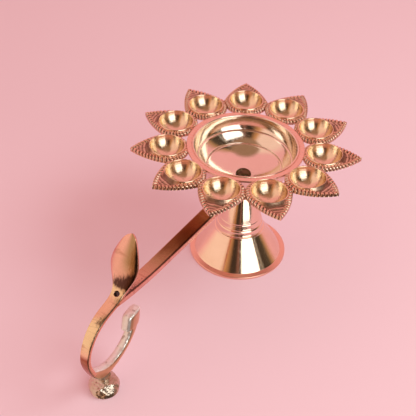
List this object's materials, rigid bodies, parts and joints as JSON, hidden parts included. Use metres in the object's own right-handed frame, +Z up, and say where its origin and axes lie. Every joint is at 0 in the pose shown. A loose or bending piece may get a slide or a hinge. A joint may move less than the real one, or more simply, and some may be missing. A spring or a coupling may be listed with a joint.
{
  "type": "aarti lamp",
  "caption": "Brass ritual lamp: a centre bowl ringed by pointed petal cups on a hollow bell stand, with a long flat handle ending in a thumb leaf, finger curl and button foot.",
  "frame": {"origin": "on the lamp's axis, at the ground plane under the bell stand", "axes": "+Z up along the bolt's axis, handle out along -X"},
  "size_m": [0.2453, 0.1484, 0.101],
  "materials": {
    "turned_brass": "turned and polished",
    "polished_brass": "polished",
    "petal_brass": "cast, with turned cups",
    "brushed_brass": "brushed",
    "cast_brass": "rough cast, filed sides",
    "dark_brass": "darkened",
    "plain_brass": "plain machined"
  },
  "bodies": {
    "stand": {"stand": "turned_brass"},
    "handle": {"handle_bar": "brushed_brass", "leaf_curl": "brushed_brass", "leaf_rivet": "dark_brass", "finger_hook": "cast_brass", "hook_foot": "cast_brass"},
    "flower": {"bowl": "polished_brass", "center_bolt": "dark_brass", "petal_01": "petal_brass", "petal_02": "petal_brass", "petal_03": "petal_brass", "petal_04": "petal_brass", "petal_05": "petal_brass", "petal_06": "petal_brass", "petal_07": "petal_brass", "petal_08": "petal_brass", "petal_09": "petal_brass", "petal_10": "petal_brass", "petal_11": "petal_brass"},
    "washer": {"stand_washer": "plain_brass"},
    "nut": {"clamp_nut": "plain_brass"}
  },
  "joints": [
    {"name": "handle_swivel", "type": "hinge", "parent": "stand", "child": "handle", "pos_m": [0, 0, 0.0585], "axis": [0, 0, 1], "continuous": true},
    {"name": "flower_swivel", "type": "hinge", "parent": "stand", "child": "flower", "pos_m": [0, 0, 0.0618], "axis": [0, 0, 1], "continuous": true},
    {"name": "washer_drop", "type": "slide", "parent": "flower", "child": "washer", "axis": [0, 0, -1], "range_m": [0, 0.002]},
    {"name": "nut_turn", "type": "hinge", "parent": "washer", "child": "nut", "pos_m": [0, 0, 0.0533], "axis": [0, 0, -1], "range_deg": [0, 720]}
  ],
  "couplings": [
    {"joint": "nut_turn", "follows": "washer_drop", "rad_per_m": 6283.2}
  ]
}
